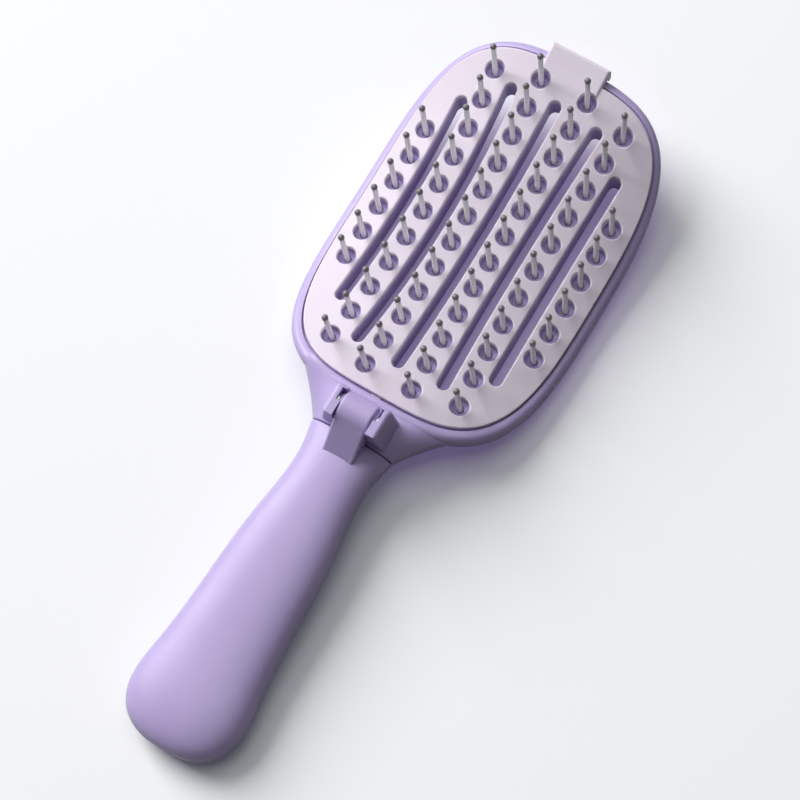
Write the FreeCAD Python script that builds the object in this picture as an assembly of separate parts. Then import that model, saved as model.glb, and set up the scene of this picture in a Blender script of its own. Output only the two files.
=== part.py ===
import FreeCAD, Part
import math
import os

os.makedirs("parts", exist_ok=True)

# Folding travel brush, in mm. While it is modelled, the middle of the cleaning panel is the
# origin, +Y runs to the tip of the head, +Z leaves the panel on the bristle side.
# At the end the whole brush is laid down on its back, with the floor at z = 0.

# Cleaning panel, whose tip is a little squarer than its neck end
panel_half_width = 37.0
panel_tip_length = 54.7
panel_neck_length = 54.0
panel_tip_power = 3.8
plan_power = 3.5
panel_end_rise = 8.45
panel_side_drop = 5.85
panel_thickness = 2.0
panel_side_gap = 0.4
panel_end_gap = 0.8
panel_lift_gap = 0.3
panel_hole_radius = 2.8
panel_edge_round = 0.38

# Clip at the panel's tip, which snaps over the rim and serves as a thumb tab
clip_half_width = 9.3
clip_root = 6.2
clip_reach = 4.9
clip_rise = 1.9
clip_sink = 1.4
clip_lip = 1.2
clip_lip_drop = 5.6
clip_side_gap = 0.5
clip_round = 0.8

# Round bead at the panel's neck end, on which it tilts, and the strap that carries it
bead_radius = 0.9
bead_half_length = 4.0
bead_setback = 4.0
bead_sink = 2.2
bead_end_gap = 0.3
strap_half_width = 1.5
strap_half_thickness = 0.5
strap_reach = 2.0
throat_drop = 0.85
throat_rise = 1.25

# Bristles, in three mirrored pairs of rows counted outward from the axis
row_offset = [6.2, 18.3, 30.7]
row_splay = [0.00055, 0.00127, 0.0]
row_count = [12, 11, 6]
row_pitch = [8.8, 9.08, 8.78]
row_middle = 0.75
bristle_radius = 0.78
bristle_reach = 15.7
bristle_gap = 0.4
ball_radius = 0.96
rail_half_width = 2.5
rail_thickness = 1.4
rail_end = 3.0
rail_gap = 0.1
rail_ledge = 0.7

# Vent slots between the rows
slot_half_width = 1.88
slot_half_length = [45.0, 44.0, 35.0]
slot_middle = 0.75

# Head: a slab between the panel's saddle and a second saddle behind it
rim_width = 2.2
rim_end_width = 2.5
rim_step = 1.0
rim_tilt = 0.7
rim_top_round = 2.0
rim_low_round = 3.6
back_depth = 10.0
back_end_rise = 9.6
back_side_drop = 5.85
cover_wall = 2.2
deck_thickness = 2.8
well_radius = 2.5
well_depth = 1.5
cover_half_width = 34.6
cover_half_length = 53.0
cover_gap = 0.1
cover_screw_x = 14.0
cover_screw_y = 48.6
cover_screw_ledge = 1.3
cover_screw_cap = 0.5

# Neck between the head and the seam
neck_length = 13.65
neck_inset = 3.35
neck_splay = 0.6
neck_flare = 0.0225
neck_lift = 4.0
neck_sink = 2.0
neck_dive = 4.5
neck_dive_power = 10
neck_power = 3.0
section_power = 2.3
seam_gap = 0.25
seam_round = 0.5
seam_half_width = 12.9
seam_mid_height = 1.5
seam_half_height = 7.0

# Hinge, raised above the panel so that the handle folds over the bristles
hinge_setback = 7.9
hinge_height = 7.05
knuckle_radius = 3.9
ear_front = 4.3
ear_rear = 5.0
ear_top_drop = 0.4
ear_base_drop = 11.5
ear_nose_round = 2.4
ear_round = 1.1
ear_inner_x = 5.3
ear_top_x = 8.3
ear_base_x = 10.6
ear_pocket_x = 6.6
relief_front = 3.3
relief_back = 0.6
arm_half_width = 4.9
arm_flat_back = 2.7
arm_bend_round = 5.0
arm_heel = 2.0
arm_belly = 6.0
arm_tail = 7.7
arm_tail_height = 7.8
arm_round = 0.7
arm_boss_radius = 2.6
arm_boss_x = 5.75
arm_boss_gap = 0.35
pin_radius = 1.2
pin_open_x = 8.2
pin_blind_x = 7.6
turning_gap = 0.05
cap_radius = 1.9
washer_radius = 2.5
washer_thickness = 0.7

# Handle, with places along it counted from its front face
handle_length = 98.2
handle_wall = 2.2
handle_cap_length = 15.0
handle_cap_power = 2.4
shoulder_along = 5.0
shoulder_half_width = 11.8
shoulder_mid_height = 2.05
waist_along = 14.1
waist_half_width = 11.2
waist_mid_height = 2.6
waist_half_height = 6.8
grip_along = 40.1
grip_half_width = 14.0
grip_mid_height = 3.3
grip_half_height = 7.1
swell_along = 79.5
swell_half_width = 17.3
swell_mid_height = 4.3
swell_half_height = 7.7
tenon_half_width = 4.0
tenon_along = 2.1
tenon_length = 4.0
tenon_bottom = 4.2
handle_screw_along = [24.1, 66.1]
handle_screw_ledge = 4.0
handle_screw_grip = 3.5
post_radius = 3.2

# Screws
screw_radius = 1.0
screw_head_radius = 1.9
screw_head_height = 1.2
screw_head_gap = 0.15
drive_half_length = 1.2
drive_half_width = 0.3
drive_depth = 0.6

# Flats that the brush rests on when it lies on its back
foot_depth = 0.35
head_foot_y = -11.0
handle_foot_along = 82.1

# Heights and places that follow from the sizes above
rim_half_width = panel_half_width + panel_side_gap + rim_width
rim_half_length = panel_tip_length + panel_end_gap + rim_end_width
panel_under = -panel_thickness
deck_top = panel_under - panel_lift_gap
deck_bottom = deck_top - deck_thickness
rail_bottom = deck_bottom - rail_thickness
seam_y = -panel_neck_length - neck_length
hinge_y = -panel_neck_length - hinge_setback
hinge_z = panel_end_rise + hinge_height
hinge_top = hinge_z + knuckle_radius
handle_front_y = seam_y - seam_gap
far = 80.0

point = FreeCAD.Vector
X_AXIS = point(1, 0, 0)
Z_AXIS = point(0, 0, 1)


def saddle(x, y, end_rise, side_drop):
    """Height of a face that is hollow along the brush and crowned across it."""
    return end_rise * (y / panel_neck_length) ** 2 - side_drop * (x / panel_half_width) ** 2


def panel_height(x, y):
    return saddle(x, y, panel_end_rise, panel_side_drop)


def back_height(x, y):
    return saddle(x, y, back_end_rise, back_side_drop) - back_depth


def saddle_solid(end_rise, side_drop, lower, upper):
    """Everything between two copies of a saddle, shifted by lower and upper."""
    rise = saddle(0, far, end_rise, side_drop)
    drop = -saddle(far, 0, end_rise, side_drop)
    surface = Part.BezierSurface()
    surface.increase(2, 2)
    for i, x in enumerate((-far, 0.0, far)):
        for j, y in enumerate((-far, 0.0, far)):
            along = rise if j != 1 else -rise
            across = drop if i != 1 else -drop
            surface.setPole(i + 1, j + 1, point(x, y, along - across + lower))
    return surface.toShape().extrude(point(0, 0, upper - lower))


def panel_layer(lower, upper):
    return saddle_solid(panel_end_rise, panel_side_drop, lower, upper)


def above_back(shift):
    return saddle_solid(back_end_rise, back_side_drop, shift - back_depth, far)


def oval_points(half_a, half_b, power, count):
    """Points round a squared oval, at equal angles."""
    points = []
    for k in range(count):
        angle = 2 * math.pi * (k + 0.5) / count
        ca = math.cos(angle)
        sa = math.sin(angle)
        r = (abs(ca / half_a) ** power + abs(sa / half_b) ** power) ** (-1 / power)
        points.append((r * ca, r * sa))
    return points


def closed_wire(points):
    curve = Part.BSplineCurve()
    curve.interpolate(Points=points, PeriodicFlag=True)
    return Part.Wire(curve.toShape())


def plan_prism(half_width, tip_length, neck_length, tip_power):
    """Upright prism with a squared oval outline, whose tip has its own length and squareness."""
    tip_end = [(x, y) for x, y in oval_points(half_width, tip_length, tip_power, 40) if y > 0]
    neck_end = [(x, y) for x, y in oval_points(half_width, neck_length, plan_power, 40) if y < 0]
    face = Part.Face(closed_wire([point(x, y, -far) for x, y in tip_end + neck_end]))
    return face.extrude(point(0, 0, 2 * far))


def panel_prism(side_gap, end_gap):
    """Prism with the outline of the panel, grown by a gap at its sides and ends."""
    return plan_prism(panel_half_width + side_gap, panel_tip_length + end_gap,
                      panel_neck_length + end_gap, panel_tip_power)


def head_prism(half_width, half_length):
    return plan_prism(half_width, half_length, half_length, plan_power)


def cross_oval(y, half_width, low, middle, high, power):
    """Squared oval across the brush at one place along it, widest at the height middle."""
    half_height = (high - low) / 2
    points = []
    for x, z in oval_points(half_width, half_height, power, 24):
        reach = high - middle if z > 0 else middle - low
        points.append(point(x, y, middle + z * reach / half_height))
    return closed_wire(points)


def smooth_skin(wires):
    """Solid with a smooth skin over a row of cross sections."""
    return Part.makeLoft(wires, True, False, False, 3)


def box(x0, x1, y0, y1, z0, z1):
    return Part.makeBox(x1 - x0, y1 - y0, z1 - z0, point(x0, y0, z0))


def rounded(shape, radius, wanted):
    """Shape with those of its edges rounded for which wanted(middle of the edge) is true."""
    return shape.makeFillet(radius, [edge for edge in shape.Edges if wanted(edge.CenterOfMass)])


def rod_z(x, y, radius, z0, z1):
    return Part.makeCylinder(radius, z1 - z0, point(x, y, z0), Z_AXIS)


def rod_x(y, z, radius, x0, x1):
    return Part.makeCylinder(radius, x1 - x0, point(x0, y, z), X_AXIS)


def hinge_rod(radius, x0, x1):
    return rod_x(hinge_y, hinge_z, radius, x0, x1)


def curved_bar(middle_x, y0, y1, half_width):
    """Tall upright bar with round ends that follows the curve middle_x(y) from y0 to y1."""
    ym = (y0 + y1) / 2
    corners = {}
    for side in (-1, 1):
        for y in (y0, ym, y1):
            corners[side, y] = point(middle_x(y) + side * half_width, y, -far)
    edges = []
    for side in (-1, 1):
        a = corners[side, y0]
        b = corners[side, ym]
        c = corners[side, y1]
        straight = abs((a.x + c.x) / 2 - b.x) < 1e-6
        edges.append(Part.LineSegment(a, c).toShape() if straight else Part.Arc(a, b, c).toShape())
    for y, way in ((y0, -1), (y1, 1)):
        apex = point(middle_x(y), y + way * half_width, -far)
        edges.append(Part.Arc(corners[-1, y], apex, corners[1, y]).toShape())
    face = Part.Face(Part.Wire(Part.__sortEdges__(edges)))
    return face.extrude(point(0, 0, 2 * far))


def side_profile(points, x0, x1):
    """Plate whose outline is drawn in the side view and which runs from x0 to x1."""
    corners = [point(x0, y, z) for y, z in points]
    face = Part.Face(Part.makePolygon(corners + corners[:1]))
    return face.extrude(point(x1 - x0, 0, 0))


def screw(x, y, seat, tip):
    """Pan head screw that points up, with its head under the seat and a slot for the driver."""
    low = seat - screw_head_height
    body = rod_z(x, y, screw_head_radius, low, seat).fuse(rod_z(x, y, screw_radius, seat, tip))
    drive = box(x - drive_half_length, x + drive_half_length,
                y - drive_half_width, y + drive_half_width, low, low + drive_depth)
    return body.cut(drive)


def screw_bores(x, y, seat, tip):
    shank = rod_z(x, y, screw_radius, seat - screw_head_height, tip)
    head_room = rod_z(x, y, screw_head_radius + screw_head_gap, seat - far, seat)
    return [shank, head_room]


def row_curve(row, side):
    return lambda y: side * (row_offset[row] + row_splay[row] * y * y)


def slot_curve(slot, side):
    if slot == 0:
        return lambda y: 0.0
    inner = row_curve(slot - 1, side)
    outer = row_curve(slot, side)
    return lambda y: (inner(y) + outer(y)) / 2


def row_places(row):
    first = row_middle - row_pitch[row] * (row_count[row] - 1) / 2
    return [first + row_pitch[row] * k for k in range(row_count[row])]


# Rows run from the left outer one to the right outer one
ROWS = [(2, -1), (1, -1), (0, -1), (0, 1), (1, 1), (2, 1)]
SLOTS = [(2, -1), (1, -1), (0, 1), (1, 1), (2, 1)]
BRISTLES = [[(row_curve(row, side)(y), y) for y in row_places(row)] for row, side in ROWS]

slot_tools = []
for slot, side in SLOTS:
    reach = slot_half_length[slot] - slot_half_width
    y0 = slot_middle - reach
    y1 = slot_middle + reach
    slot_tools.append(curved_bar(slot_curve(slot, side), y0, y1, slot_half_width))
slots = Part.makeCompound(slot_tools)

# Outer form of the head: squared oval slab with a round rim, which lies deeper towards the tip
rim_layer = panel_layer(-far, -rim_step)
rim_layer.rotate(point(0, 0, 0), X_AXIS, -rim_tilt)
slab = head_prism(rim_half_width, rim_half_length).common(rim_layer).common(above_back(0.0)).Solids[0]
outlines = [edge for edge in slab.Edges if edge.Length > 2 * rim_half_length]
low_edge, top_edge = sorted(outlines, key=lambda edge: edge.CenterOfMass.z)
slab = slab.makeFillet(rim_top_round, [top_edge])
outlines = [edge for edge in slab.Edges if edge.Length > 2 * rim_half_length]
low_edge = min(outlines, key=lambda edge: edge.CenterOfMass.z)
slab = slab.makeFillet(rim_low_round, [low_edge])

# Neck: oval sections that widen from the seam into the head, where they end under the rim
neck_wires = []
neck_run = neck_length + neck_inset
for share in (0.0, 0.2, 0.4, 0.6, 0.8, 1.0):
    along = share * neck_run
    half_width = seam_half_width + neck_splay * along + neck_flare * along ** 2
    low = seam_mid_height - seam_half_height + neck_lift * share
    middle = seam_mid_height - neck_sink * share ** 2
    high = seam_mid_height + seam_half_height - neck_dive * share ** neck_dive_power
    power = section_power + (neck_power - section_power) * share
    neck_wires.append(cross_oval(seam_y + along, half_width, low, middle, high, power))
neck = rounded(smooth_skin(neck_wires), seam_round, lambda middle: abs(middle.y - seam_y) < seam_round)

# Two ears beside the hinge arm, with sloped outer flanks and a well rounded front
ears = []
ear_front_y = hinge_y + ear_front
ear_rear_y = hinge_y - ear_rear
ear_base_z = hinge_z - ear_base_drop
ear_top_z = hinge_top - ear_top_drop
for side in (-1, 1):
    outline = [(ear_inner_x, ear_base_z), (ear_inner_x, ear_top_z), (ear_top_x, ear_top_z),
               (ear_base_x, ear_base_z)]
    corners = [point(side * x, ear_rear_y, z) for x, z in outline]
    ear = Part.Face(Part.makePolygon(corners + corners[:1])).extrude(point(0, ear_front_y - ear_rear_y, 0))
    ear = rounded(ear, ear_nose_round, lambda middle: (
        middle.y > ear_front_y - ear_round and middle.z > ear_top_z - ear_round))
    ears.append(rounded(ear, ear_round, lambda middle: (
        abs(middle.x) > ear_top_x - ear_round and middle.z > ear_base_z + ear_round)))

head = slab.fuse([neck] + ears)

# Seat of the panel, with a flat land for the clip and a socket for the bead
recess = panel_prism(panel_side_gap, panel_end_gap).common(panel_layer(deck_top, far))
tip_rise = panel_height(0, panel_tip_length)
clip_top = tip_rise + clip_rise
clip_under = tip_rise - clip_sink
clip_root_y = panel_tip_length - clip_root
clip_edge_y = panel_tip_length + clip_reach
notch_half_width = clip_half_width + clip_side_gap
clip_notch = box(-notch_half_width, notch_half_width, clip_root_y, far, clip_under, far)
bead_y = -panel_neck_length - bead_setback
bead_z = panel_end_rise - bead_sink
strap_end_y = -panel_neck_length + strap_reach
socket_half_length = bead_half_length + bead_end_gap
socket = rod_x(bead_y, bead_z, bead_radius + turning_gap, -socket_half_length, socket_half_length)
throat_half_width = strap_half_width + bead_end_gap
throat = box(-throat_half_width, throat_half_width, bead_y, strap_end_y + panel_end_gap,
             bead_z - throat_drop, bead_z + throat_rise)

# Round pockets in the ears for the hinge arm's bosses, a relief over each pocket, and bores for the pin
pockets = hinge_rod(arm_boss_radius + arm_boss_gap, -ear_pocket_x, ear_pocket_x)
reliefs = box(-ear_pocket_x, ear_pocket_x, hinge_y - relief_back, hinge_y + relief_front, hinge_z, far)
pin_bore = hinge_rod(pin_radius, -pin_open_x, pin_blind_x)
cap_bore = hinge_rod(cap_radius, -far, -pin_open_x)

# Back cover, let into the frame from behind
below_deck = panel_layer(-far, deck_bottom)
cover_zone = head_prism(cover_half_width, cover_half_length).common(below_deck)
cover_room = head_prism(cover_half_width + cover_gap, cover_half_length + cover_gap).common(below_deck)

wells = []
bristle_bores = []
for row in BRISTLES:
    for x, y in row:
        z = panel_height(x, y)
        wells.append(rod_z(x, y, well_radius, z + deck_top - well_depth, z))
        bristle_bores.append(rod_z(x, y, bristle_radius + bristle_gap, z + rail_bottom, z))

cover_screws = []
cover_screw_bores = []
for x in (-cover_screw_x, cover_screw_x):
    for y in (-cover_screw_y, cover_screw_y):
        deck = panel_height(x, y) + deck_bottom
        seat = deck - cover_screw_ledge
        tip = deck + deck_thickness - cover_screw_cap
        cover_screws.append(screw(x, y, seat, tip))
        cover_screw_bores += screw_bores(x, y, seat, tip)

head_frame = head.cut(recess).cut(clip_notch)
head_frame = head_frame.cut([pockets, reliefs]).cut([pin_bore, cap_bore])
head_frame = head_frame.cut([socket, throat]).cut(cover_room)
head_frame = head_frame.cut(slots).cut(Part.makeCompound(wells)).cut(Part.makeCompound(bristle_bores))
head_frame = head_frame.cut(cover_screw_bores)

# The cover has a groove for each bristle strip and is hollowed out under the groove
rails = []
rail_rooms = []
cores = []
for row, side in ROWS:
    places = row_places(row)
    y0 = places[0] - rail_end + rail_half_width
    y1 = places[-1] + rail_end - rail_half_width
    curve = row_curve(row, side)
    rails.append(curved_bar(curve, y0, y1, rail_half_width))
    rail_rooms.append(curved_bar(curve, y0, y1, rail_half_width + rail_gap))
    cores.append(curved_bar(curve, y0, y1, rail_half_width - rail_ledge))
rail_layer = panel_layer(rail_bottom, deck_bottom)
rail_rooms = Part.makeCompound(rail_rooms).common(rail_layer)
cores = Part.makeCompound(cores).common(above_back(cover_wall)).common(below_deck)
back_cover = slab.common(cover_zone)
back_cover = back_cover.cut(slots).cut(rail_rooms).cut(cores).cut(cover_screw_bores)

# Bristle strips: a rail under the deck with one pin per hole, each ended by a ball
nodes = {}
ball_seat = math.sqrt(ball_radius ** 2 - bristle_radius ** 2)
for number, (rail, row) in enumerate(zip(rails, BRISTLES), start=1):
    strip = rail.common(rail_layer)
    pins = []
    balls = []
    for x, y in row:
        z = panel_height(x, y)
        top = z + bristle_reach - ball_seat
        pins.append(rod_z(x, y, bristle_radius, z + deck_bottom - rail_thickness / 2, top))
        ball = Part.makeSphere(ball_radius, point(x, y, z + bristle_reach))
        below = box(x - ball_radius, x + ball_radius, y - ball_radius, y + ball_radius, top - ball_radius, top)
        balls.append(ball.cut(below))
    nodes["bristle_strip_%d" % number] = strip.fuse(pins)
    nodes["ball_tips_%d" % number] = Part.makeCompound(balls)

# Cleaning panel: curved plate with holes and slots, clip at the tip, bead at the neck
holes = []
for row in BRISTLES:
    for x, y in row:
        holes.append(rod_z(x, y, panel_hole_radius, -far, far))
holes = Part.makeCompound(holes)
plate = panel_prism(0.0, 0.0).common(panel_layer(panel_under, 0.0))
plate = plate.cut(slots).cut(holes).Solids[0]
upper_edges = []
for edge in plate.Edges:
    half_way = edge.valueAt((edge.FirstParameter + edge.LastParameter) / 2)
    if abs(half_way.z - panel_height(half_way.x, half_way.y)) < panel_edge_round / 4:
        upper_edges.append(edge)
plate = plate.makeFillet(panel_edge_round, upper_edges)
clip_root_z = panel_height(0, clip_root_y)
lip_y = clip_edge_y - clip_lip
lip_z = clip_top - clip_lip_drop
plate_middle = panel_thickness / 2
clip_outline = [(clip_root_y, clip_root_z - plate_middle), (clip_root_y, clip_root_z),
                (clip_edge_y, clip_top), (clip_edge_y, lip_z), (lip_y, lip_z), (lip_y, clip_under),
                (panel_tip_length - plate_middle, clip_under)]
clip = side_profile(clip_outline, -clip_half_width, clip_half_width)
clip_middle_y = (clip_root_y + clip_edge_y) / 2
clip_middle_z = (clip_root_z + clip_top) / 2
clip = rounded(clip, clip_round, lambda middle: (
    middle.y > clip_middle_y - clip_round and middle.z > clip_middle_z - clip_round))
clip = clip.cut(holes).cut(slots)
bead = rod_x(bead_y, bead_z, bead_radius, -bead_half_length, bead_half_length)
strap = box(-strap_half_width, strap_half_width, bead_y, strap_end_y,
            bead_z - strap_half_thickness, bead_z + strap_half_thickness)
cleaning_panel = plate.fuse([clip, bead, strap])

# Handle: oval sections from the seam over the waist to the swell, then a round end
handle_sections = [
    (0.0, seam_half_width, seam_mid_height, seam_half_height),
    (shoulder_along, shoulder_half_width, shoulder_mid_height, seam_half_height),
    (waist_along, waist_half_width, waist_mid_height, waist_half_height),
    (grip_along, grip_half_width, grip_mid_height, grip_half_height),
    (swell_along, swell_half_width, swell_mid_height, swell_half_height)]
cap_shares = (0.45, 0.68, 0.84, 0.94, 0.985)


def handle_wires(shrink, first_along):
    """Cross sections of the handle from one place to its end, made smaller by shrink."""
    sections = []
    for along, half_width, middle, half_height in handle_sections:
        if along >= first_along:
            sections.append((handle_front_y - along, half_width - shrink, middle, half_height - shrink))
    cap_start = handle_length - handle_cap_length
    for share in cap_shares:
        along = cap_start + share * (handle_cap_length - shrink)
        narrow = (1 - share ** handle_cap_power) ** (1 / handle_cap_power)
        half_width = (swell_half_width - shrink) * narrow
        half_height = (swell_half_height - shrink) * narrow ** 0.8
        sections.append((handle_front_y - along, half_width, swell_mid_height, half_height))
    return [cross_oval(y, half_width, middle - half_height, middle, middle + half_height, section_power)
            for y, half_width, middle, half_height in sorted(sections)]


handle_outer = rounded(smooth_skin(handle_wires(0.0, 0.0)), seam_round, lambda middle: (
    abs(middle.y - handle_front_y) < seam_round))
handle_inner = Part.makeLoft(handle_wires(handle_wall, waist_along), True, True)

# Parting plane between the two handle shells follows the widest line of the sections
parting_slope = (swell_mid_height - seam_mid_height) / swell_along


def parting_height(along):
    return seam_mid_height + parting_slope * along


parting_ends = (-handle_length, 2 * handle_length)
upper_outline = [(handle_front_y - along, parting_height(along)) for along in parting_ends]
upper_outline += [(handle_front_y - along, far) for along in reversed(parting_ends)]
upper_half = side_profile(upper_outline, -far, far)

# Hinge arm: wedge on the handle's front face with a round knuckle, its bosses, and a tenon in the front shell
flat_back_y = hinge_y - arm_flat_back
tail_y = handle_front_y - arm_tail
belly_z = hinge_z - arm_belly
arm_outline = [(tail_y, arm_tail_height), (flat_back_y, hinge_top), (hinge_y, hinge_top), (hinge_y, hinge_z),
               (hinge_y - arm_heel, belly_z), (handle_front_y, belly_z), (handle_front_y, seam_mid_height),
               (tail_y, seam_mid_height)]
arm = side_profile(arm_outline, -arm_half_width, arm_half_width)
arm = rounded(arm, arm_bend_round, lambda middle: (
    abs(middle.y - flat_back_y) < arm_round and abs(middle.z - hinge_top) < arm_round and abs(middle.x) < arm_round))


def on_arm_flank(middle):
    """True for the upper side edges of the arm, along its flat and along its ramp."""
    on_flat = middle.z > hinge_z and middle.y < hinge_y - arm_round
    on_ramp = middle.z > arm_tail_height and middle.y < handle_front_y - arm_round
    return abs(middle.x) > arm_half_width / 2 and (on_flat or on_ramp)


arm = rounded(arm, arm_round, on_arm_flank).cut(handle_outer)
knuckle = rounded(hinge_rod(knuckle_radius, -arm_half_width, arm_half_width), arm_round, lambda middle: (
    abs(middle.x) > arm_half_width / 2))
bosses = hinge_rod(arm_boss_radius, -arm_boss_x, arm_boss_x)
tenon_y = handle_front_y - tenon_along
tenon = box(-tenon_half_width, tenon_half_width, tenon_y - tenon_length, tenon_y, tenon_bottom, belly_z)
hinge_arm = arm.fuse([knuckle, bosses, tenon])
hinge_arm = hinge_arm.cut(hinge_rod(pin_radius + turning_gap, -far, far))

posts = []
handle_screws = []
handle_bores = []
for along in handle_screw_along:
    y = handle_front_y - along
    seat = parting_height(along) - handle_screw_ledge
    tip = parting_height(along) + handle_screw_grip
    posts.append(rod_z(0, y, post_radius, -far, far))
    handle_screws.append(screw(0, y, seat, tip))
    handle_bores += screw_bores(0, y, seat, tip)

handle = handle_outer.cut(handle_inner.cut(posts)).cut(handle_bores).cut(tenon)
handle_front_shell = handle.common(upper_half)
handle_back_shell = handle.cut(upper_half)

# Hinge pin, pushed in from the left, the cap that closes its bore, and the spring washers
hinge_pin = hinge_rod(pin_radius, -pin_open_x, pin_blind_x)
pin_cap = cap_bore.common(ears[0])
hinge_washers = []
for side in (-1, 1):
    x0, x1 = sorted((side * (ear_pocket_x - washer_thickness), side * ear_pocket_x))
    hinge_washers.append(hinge_rod(washer_radius, x0, x1).cut(hinge_rod(pin_radius, x0, x1)))

nodes["head_frame"] = head_frame
nodes["back_cover"] = back_cover
nodes["cover_screws"] = Part.makeCompound(cover_screws)
nodes["cleaning_panel"] = cleaning_panel
nodes["handle_front_shell"] = handle_front_shell
nodes["handle_back_shell"] = handle_back_shell
nodes["handle_screws"] = Part.makeCompound(handle_screws)
nodes["hinge_arm"] = hinge_arm
nodes["hinge_pin"] = hinge_pin
nodes["pin_cap"] = pin_cap
nodes["hinge_washers"] = Part.makeCompound(hinge_washers)

# Lay the brush on its back: small flats on both sides of the rim and under the handle share one floor
head_foot_z = back_height(rim_half_width - rim_low_round, head_foot_y) + foot_depth
handle_foot_y = handle_front_y - handle_foot_along
handle_foot_z = swell_mid_height - swell_half_height + foot_depth
floor_slope = (handle_foot_z - head_foot_z) / (handle_foot_y - head_foot_y)
floor_ends = (-3 * far, 3 * far)
floor_outline = [(y, head_foot_z + floor_slope * (y - head_foot_y)) for y in floor_ends]
floor_outline += [(y, -2 * far) for y in reversed(floor_ends)]
floor_block = side_profile(floor_outline, -far, far)
for name in ("back_cover", "head_frame", "handle_back_shell"):
    nodes[name] = nodes[name].cut(floor_block)
lay_down = FreeCAD.Placement(point(0, 0, 0), FreeCAD.Rotation(X_AXIS, -math.degrees(math.atan(floor_slope))))
turned = {name: shape.transformed(lay_down.toMatrix()) for name, shape in nodes.items()}
whole = Part.makeCompound(list(turned.values())).optimalBoundingBox(False, False)
shift = point(-(whole.XMin + whole.XMax) / 2, -(whole.YMin + whole.YMax) / 2, -whole.ZMin)
for name, shape in turned.items():
    shape.translated(shift).exportStep("parts/%s.step" % name)
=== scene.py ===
import bpy
import math
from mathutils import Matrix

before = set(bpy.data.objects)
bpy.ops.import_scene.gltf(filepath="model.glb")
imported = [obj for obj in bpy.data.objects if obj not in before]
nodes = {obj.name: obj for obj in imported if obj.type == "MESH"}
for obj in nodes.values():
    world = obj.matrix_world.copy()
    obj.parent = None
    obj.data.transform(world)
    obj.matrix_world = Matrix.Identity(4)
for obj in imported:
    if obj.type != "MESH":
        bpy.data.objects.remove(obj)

bpy.context.view_layer.update()

# Head frame: the oval lavender moulding that carries everything else. It is shot in one piece
# with its rim, the deck under the panel, the neck and the two hinge ears, in satin polypropylene.
lavender = (0.545, 0.450, 0.755, 1.0)
lavender_deep = (0.515, 0.420, 0.730, 1.0)


def grained_finish(name, colour, deep_colour, roughness, grain_size, grain_height):
    """Finish with faint clouding of the colour, uneven gloss and a fine grain."""
    material = bpy.data.materials.new(name)
    material.use_nodes = True
    tree = material.node_tree
    shader = tree.nodes["Principled BSDF"]
    place = tree.nodes.new("ShaderNodeTexCoord")
    cloud = tree.nodes.new("ShaderNodeTexNoise")
    cloud.inputs["Scale"].default_value = 45.0
    cloud.inputs["Detail"].default_value = 4.0
    tint = tree.nodes.new("ShaderNodeMix")
    tint.data_type = "RGBA"
    tint.inputs["A"].default_value = colour
    tint.inputs["B"].default_value = deep_colour
    gloss = tree.nodes.new("ShaderNodeMapRange")
    gloss.inputs["From Min"].default_value = 0.3
    gloss.inputs["From Max"].default_value = 0.7
    gloss.inputs["To Min"].default_value = roughness - 0.04
    gloss.inputs["To Max"].default_value = roughness + 0.05
    grain = tree.nodes.new("ShaderNodeTexNoise")
    grain.inputs["Scale"].default_value = 1.0 / grain_size
    grain.inputs["Detail"].default_value = 2.0
    bump = tree.nodes.new("ShaderNodeBump")
    bump.inputs["Strength"].default_value = 0.25
    bump.inputs["Distance"].default_value = grain_height
    tree.links.new(place.outputs["Object"], cloud.inputs["Vector"])
    tree.links.new(place.outputs["Object"], grain.inputs["Vector"])
    tree.links.new(cloud.outputs["Fac"], tint.inputs["Factor"])
    tree.links.new(tint.outputs["Result"], shader.inputs["Base Color"])
    tree.links.new(cloud.outputs["Fac"], gloss.inputs["Value"])
    tree.links.new(gloss.outputs["Result"], shader.inputs["Roughness"])
    tree.links.new(grain.outputs["Fac"], bump.inputs["Height"])
    tree.links.new(bump.outputs["Normal"], shader.inputs["Normal"])
    shader.inputs["Specular IOR Level"].default_value = 0.5
    return material


def set_shader(material, socket, value):
    """Sets one socket of a finish's shader."""
    material.node_tree.nodes["Principled BSDF"].inputs[socket].default_value = value


def soak_light(material, share, depth):
    """Lets a share of the light sink into a plastic before it comes out again."""
    set_shader(material, "Subsurface Weight", share)
    set_shader(material, "Subsurface Radius", (1.0, 1.0, 1.0))
    set_shader(material, "Subsurface Scale", depth)


def finish_node(name, material):
    """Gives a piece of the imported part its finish."""
    nodes[name].data.materials.clear()
    nodes[name].data.materials.append(material)


lavender_satin = grained_finish(
    "lavender_satin", lavender, lavender_deep, roughness=0.42, grain_size=0.0007, grain_height=0.00003)
soak_light(lavender_satin, share=0.25, depth=0.002)
finish_node("head_frame", lavender_satin)

# Bristle strips: each row of pins is one white nylon moulding, a thin rail under the deck with
# a slender pin through every well. The rails are clamped by the cover.
bristle_rows = 6
nylon_white = (0.975, 0.970, 0.975, 1.0)
nylon_shade = (0.955, 0.950, 0.960, 1.0)
bristle_nylon = grained_finish(
    "bristle_nylon", nylon_white, nylon_shade, roughness=0.45, grain_size=0.0004, grain_height=0.00002)
soak_light(bristle_nylon, share=1.0, depth=0.0015)
for row in range(1, bristle_rows + 1):
    finish_node("bristle_strip_%d" % row, bristle_nylon)

# Ball tips: small grey beads, hard and glossy, one on the end of every pin. They are dipped on as
# drops and set there, so that the pins don't scratch.
bead_grey = (0.220, 0.203, 0.222, 1.0)
bead_dark = (0.180, 0.165, 0.182, 1.0)
tip_gloss = grained_finish(
    "tip_gloss", bead_grey, bead_dark, roughness=0.36, grain_size=0.0005, grain_height=0.00001)
set_shader(tip_gloss, "Specular IOR Level", 1.0)
for row in range(1, bristle_rows + 1):
    finish_node("ball_tips_%d" % row, tip_gloss)

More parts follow.
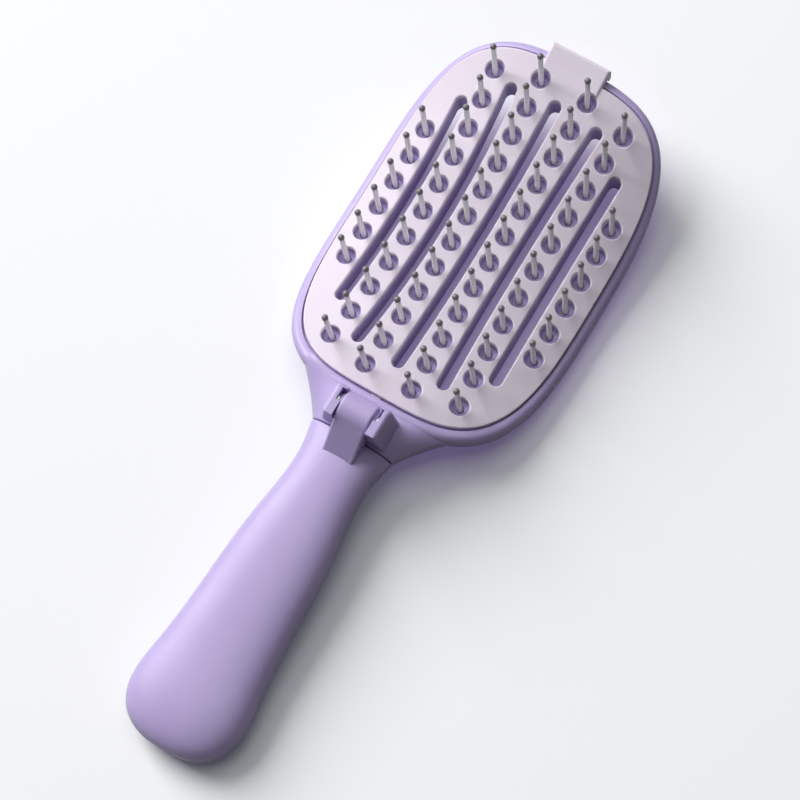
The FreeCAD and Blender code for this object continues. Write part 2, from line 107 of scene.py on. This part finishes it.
# Back cover: lavender plate let into the back of the head, which clamps the bristle rails.
# It comes from the same plastic as the frame and is held by four small screws.
finish_node("back_cover", lavender_satin)

# Screws, pin and washers: turned steel with a thin, slightly dull coat of zinc. The screws close
# the cover and the handle, the pin and its washers make the hinge.
zinc = (0.56, 0.57, 0.60, 1.0)
zinc_dull = (0.46, 0.47, 0.50, 1.0)
zinc_plate = grained_finish(
    "zinc_plate", zinc, zinc_dull, roughness=0.32, grain_size=0.0003, grain_height=0.00002)
set_shader(zinc_plate, "Metallic", 1.0)
for name in ("cover_screws", "handle_screws", "hinge_pin", "hinge_washers"):
    finish_node(name, zinc_plate)

# Cleaning panel: pale, slightly lavender plate that lies over the deck and strips hair off the
# pins when it is lifted by the tab at its tip. Moulded with soft edges round holes and slots.
panel_pale = (0.812, 0.735, 0.835, 1.0)
panel_shade = (0.785, 0.708, 0.812, 1.0)
panel_satin = grained_finish(
    "panel_satin", panel_pale, panel_shade, roughness=0.50, grain_size=0.0009, grain_height=0.00004)
soak_light(panel_satin, share=0.25, depth=0.001)
set_shader(panel_satin, "Specular IOR Level", 0.3)
finish_node("cleaning_panel", panel_satin)

# Handle: two lavender half shells, screwed together from behind, with the hinge arm set into
# the front one. One small plug of the same plastic closes the pin's bore in the left ear.
for name in ("handle_front_shell", "handle_back_shell", "hinge_arm", "pin_cap"):
    finish_node(name, lavender_satin)

# Studio: a white table top, a tall soft lamp on the left, a weaker one overhead and a dim surround.
# The table throws back less light than it shows, so that the side away from the lamp stays deep. To
# the camera it also glows faintly, and under the head a painted lavender glow stands in for the light
# that soaks through the lavender plastic.
table_size = 6.0
table_white = (0.985, 0.988, 0.990, 1.0)
table_bounce = (0.16, 0.16, 0.17, 1.0)
table_lift = (0.035, 0.040, 0.055, 1.0)
# painted lavender glow: emission on the table under the head, standing in for light soaked through the
# plastic
table_painted_glow = (0.110, 0.078, 0.190, 1.0)
head_middle_y = 0.054
head_half_width = 0.040
head_half_length = 0.060
painted_glow_starts = 0.95
painted_glow_ends = 1.35

bpy.ops.object.select_all(action="DESELECT")
bpy.ops.mesh.primitive_plane_add(size=table_size, location=(0, 0, 0))
floor = bpy.context.object
floor.name = "table_top"
floor_paint = bpy.data.materials.new("table_white")
floor_paint.use_nodes = True
floor_tree = floor_paint.node_tree
floor_shader = floor_tree.nodes["Principled BSDF"]
floor_shader.inputs["Roughness"].default_value = 0.7
floor_shader.inputs["Specular IOR Level"].default_value = 0.0
floor_ray = floor_tree.nodes.new("ShaderNodeLightPath")
floor_mirrored = floor_tree.nodes.new("ShaderNodeMath")
floor_mirrored.operation = "MAXIMUM"
floor_seen = floor_tree.nodes.new("ShaderNodeMath")
floor_seen.operation = "MAXIMUM"
floor_colour = floor_tree.nodes.new("ShaderNodeMix")
floor_colour.data_type = "RGBA"
floor_colour.inputs["A"].default_value = table_bounce
floor_colour.inputs["B"].default_value = table_white
floor_place = floor_tree.nodes.new("ShaderNodeTexCoord")
floor_from_head = floor_tree.nodes.new("ShaderNodeMapping")
floor_from_head.inputs["Location"].default_value = (0.0, -head_middle_y / head_half_length, 0.0)
floor_from_head.inputs["Scale"].default_value = (1.0 / head_half_width, 1.0 / head_half_length, 1.0)
floor_distance = floor_tree.nodes.new("ShaderNodeVectorMath")
floor_distance.operation = "LENGTH"
# mask of the painted glow: full under the head, fading out beyond it
painted_glow_mask = floor_tree.nodes.new("ShaderNodeMapRange")
painted_glow_mask.inputs["From Min"].default_value = painted_glow_starts
painted_glow_mask.inputs["From Max"].default_value = painted_glow_ends
painted_glow_mask.inputs["To Min"].default_value = 1.0
painted_glow_mask.inputs["To Max"].default_value = 0.0
# faint even lift of the table, turning to the painted lavender glow under the head
floor_lift_and_painted_glow = floor_tree.nodes.new("ShaderNodeMix")
floor_lift_and_painted_glow.data_type = "RGBA"
floor_lift_and_painted_glow.inputs["A"].default_value = table_lift
floor_lift_and_painted_glow.inputs["B"].default_value = table_painted_glow
floor_tree.links.new(floor_ray.outputs["Is Glossy Ray"], floor_mirrored.inputs[0])
floor_tree.links.new(floor_ray.outputs["Is Transmission Ray"], floor_mirrored.inputs[1])
floor_tree.links.new(floor_ray.outputs["Is Camera Ray"], floor_seen.inputs[0])
floor_tree.links.new(floor_mirrored.outputs["Value"], floor_seen.inputs[1])
floor_tree.links.new(floor_seen.outputs["Value"], floor_colour.inputs["Factor"])
floor_tree.links.new(floor_colour.outputs["Result"], floor_shader.inputs["Base Color"])
floor_tree.links.new(floor_place.outputs["Object"], floor_from_head.inputs["Vector"])
floor_tree.links.new(floor_from_head.outputs["Vector"], floor_distance.inputs[0])
floor_tree.links.new(floor_distance.outputs["Value"], painted_glow_mask.inputs["Value"])
floor_tree.links.new(painted_glow_mask.outputs["Result"], floor_lift_and_painted_glow.inputs["Factor"])
floor_tree.links.new(floor_lift_and_painted_glow.outputs["Result"], floor_shader.inputs["Emission Color"])
floor_tree.links.new(floor_seen.outputs["Value"], floor_shader.inputs["Emission Strength"])
floor.data.materials.append(floor_paint)

surround_colour = (0.96, 0.98, 1.0, 1.0)
surround_strength = 0.045
world = bpy.data.worlds.new("surround")
world.use_nodes = True
surround = world.node_tree.nodes["Background"]
surround.inputs["Color"].default_value = surround_colour
surround.inputs["Strength"].default_value = surround_strength
bpy.context.scene.world = world


def soft_lamp(name, stands, aim, width, height, power):
    """Soft box that stands at one place and is turned to face another."""
    lamp_data = bpy.data.lights.new(name, "AREA")
    lamp_data.shape = "RECTANGLE"
    lamp_data.size = width
    lamp_data.size_y = height
    lamp_data.energy = power
    lamp = bpy.data.objects.new(name, lamp_data)
    bpy.context.scene.collection.objects.link(lamp)
    lamp.location = stands
    way = [end - start for end, start in zip(aim, stands)]
    tilt = math.atan2(math.hypot(way[0], way[1]), -way[2])
    lamp.rotation_euler = (tilt, 0.0, math.atan2(-way[0], way[1]))


brush_middle = (0.0, 0.02, 0.0)
soft_lamp("left_window", (-2.29, 0.60, 1.80), brush_middle, width=1.9, height=2.2, power=104.0)
soft_lamp("ceiling_panel", (-0.35, 0.40, 2.50), brush_middle, width=1.8, height=1.8, power=16.0)

# Camera: a long lens above the brush, turned so that the brush lies across the picture. Its place
# and its turns were worked out from the regular rows of holes and pins.
camera_place = (0.125106, -0.163293, 0.611368)
camera_turns = (18.8171, 1.5764, 31.2166)
camera_data = bpy.data.cameras.new("camera")
camera_data.lens = 102.69
camera_data.sensor_width = 36.0
camera_data.clip_end = 20.0
camera = bpy.data.objects.new("camera", camera_data)
bpy.context.scene.collection.objects.link(camera)
camera.location = camera_place
camera.rotation_euler = [math.radians(turn) for turn in camera_turns]
bpy.context.scene.camera = camera
bpy.context.scene.view_settings.view_transform = "Standard"

bpy.context.view_layer.update()
